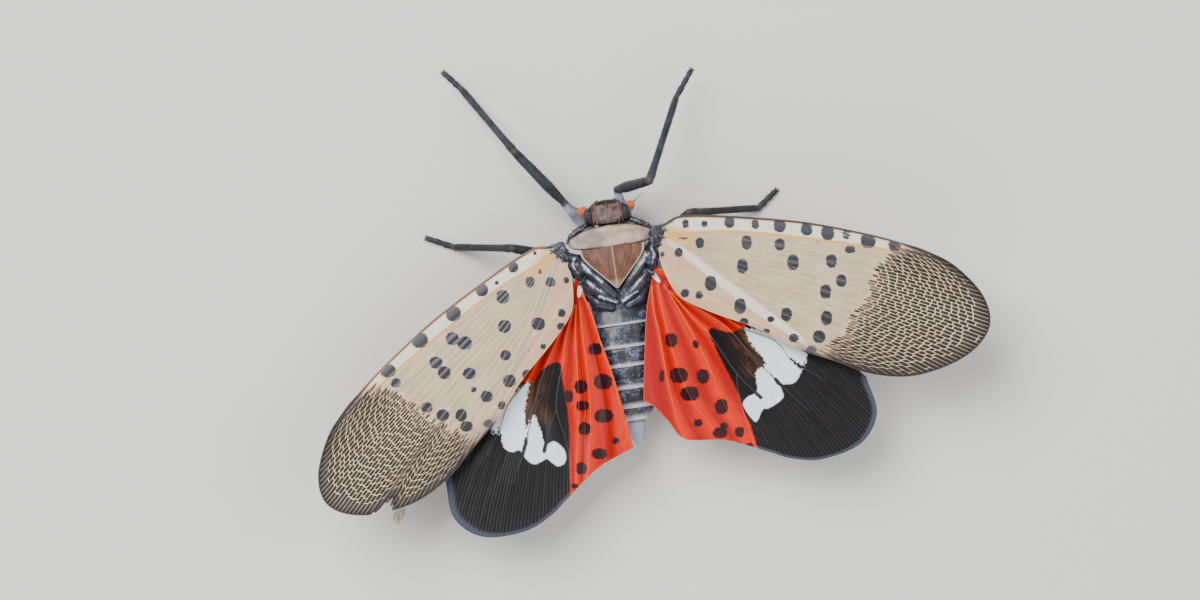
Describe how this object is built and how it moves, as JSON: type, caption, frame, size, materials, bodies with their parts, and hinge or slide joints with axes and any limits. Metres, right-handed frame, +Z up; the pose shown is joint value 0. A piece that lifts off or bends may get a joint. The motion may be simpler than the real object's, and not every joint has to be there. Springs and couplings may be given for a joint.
{
  "type": "spotted lanternfly",
  "caption": "Life-size still model of an adult spotted lanternfly standing with spotted tan forewings and red, white and black hindwings spread.",
  "frame": {"origin": "middle of the insect's outer box, at the level of the soles of its feet", "axes": "+X to the insect's left, +Y to its tail, +Z up from the ground it stands on"},
  "size_m": [0.0484, 0.0336, 0.0076],
  "materials": {
    "brown_cuticle": "mottled red-brown cuticle",
    "eye": "glossy black compound eye",
    "orange_bulb": "orange antenna bulb",
    "tan_shield": "tan cuticle with fine dark mottling",
    "red_brown_shield": "red-brown cuticle, tan at the edges",
    "blue_black_cuticle": "glossy blue-black cuticle with pale wax",
    "wax": "pale lilac wax bloom",
    "tan_wing": "tan membrane with grey-black spots and a netted tip",
    "red_wing": "red, white and black pleated membrane",
    "pale_leg": "blue-grey cuticle with wax bloom",
    "black_leg": "black bristly cuticle"
  },
  "bodies": {
    "root": {"head": "brown_cuticle", "eye_left": "eye", "eye_right": "eye", "antenna_left": "orange_bulb", "antenna_right": "orange_bulb", "rostrum": "black_leg", "pronotum": "tan_shield", "mesonotum": "red_brown_shield", "thorax": "blue_black_cuticle", "abdomen": "blue_black_cuticle", "anal_tube": "wax", "wing_base_left": "blue_black_cuticle", "wing_base_right": "blue_black_cuticle", "forewing_left": "tan_wing", "forewing_right": "tan_wing", "hindwing_left": "red_wing", "hindwing_right": "red_wing", "coxa_front_left": "pale_leg", "femur_front_left": "black_leg", "tibia_front_left": "black_leg", "tarsus_front_left": "black_leg", "coxa_front_right": "pale_leg", "femur_front_right": "black_leg", "tibia_front_right": "black_leg", "tarsus_front_right": "black_leg", "coxa_mid_left": "pale_leg", "femur_mid_left": "black_leg", "tibia_mid_left": "black_leg", "tarsus_mid_left": "black_leg", "coxa_mid_right": "pale_leg", "femur_mid_right": "black_leg", "tibia_mid_right": "black_leg", "tarsus_mid_right": "black_leg", "coxa_hind_left": "pale_leg", "femur_hind_left": "black_leg", "tibia_hind_left": "black_leg", "tarsus_hind_left": "black_leg", "coxa_hind_right": "pale_leg", "femur_hind_right": "black_leg", "tibia_hind_right": "black_leg", "tarsus_hind_right": "black_leg"}
  },
  "joints": []
}
